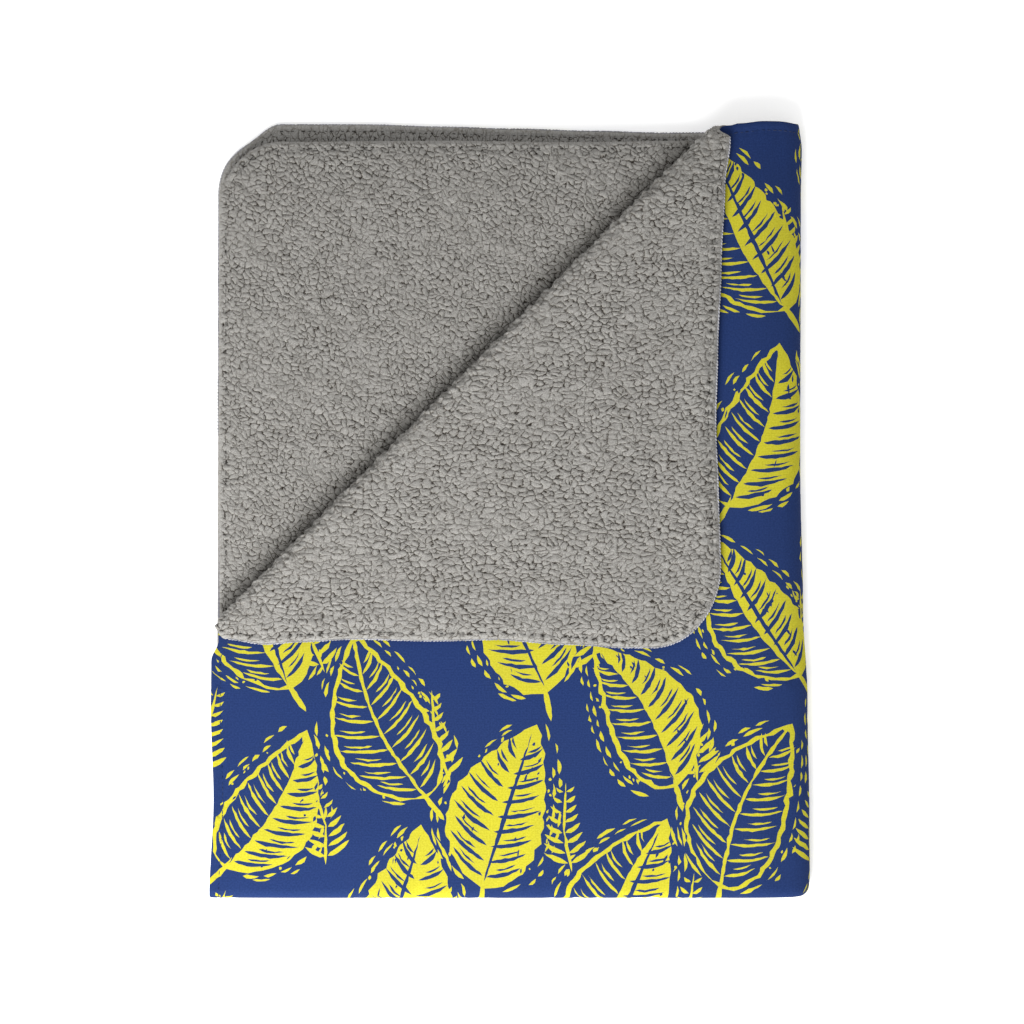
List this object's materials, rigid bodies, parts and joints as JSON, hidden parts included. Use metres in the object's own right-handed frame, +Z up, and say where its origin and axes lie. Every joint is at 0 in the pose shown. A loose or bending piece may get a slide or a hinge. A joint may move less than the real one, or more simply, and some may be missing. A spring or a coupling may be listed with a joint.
{
  "type": "sherpa fleece blanket",
  "caption": "Plush and sherpa fleece blanket, folded in quarters with one rounded corner turned back to show the curly pile.",
  "frame": {"origin": "on the resting surface, under the middle of the folded blanket", "axes": "+Z up, +Y along the long side away from the first fold, +X across towards the second fold"},
  "size_m": [0.388, 0.5006, 0.0356],
  "materials": {
    "printed_plush": "short plush, printed in blue and yellow",
    "sherpa_pile": "curly grey sherpa pile"
  },
  "bodies": {
    "root": {"printed_face": "printed_plush", "sherpa_back": "sherpa_pile"}
  },
  "joints": []
}
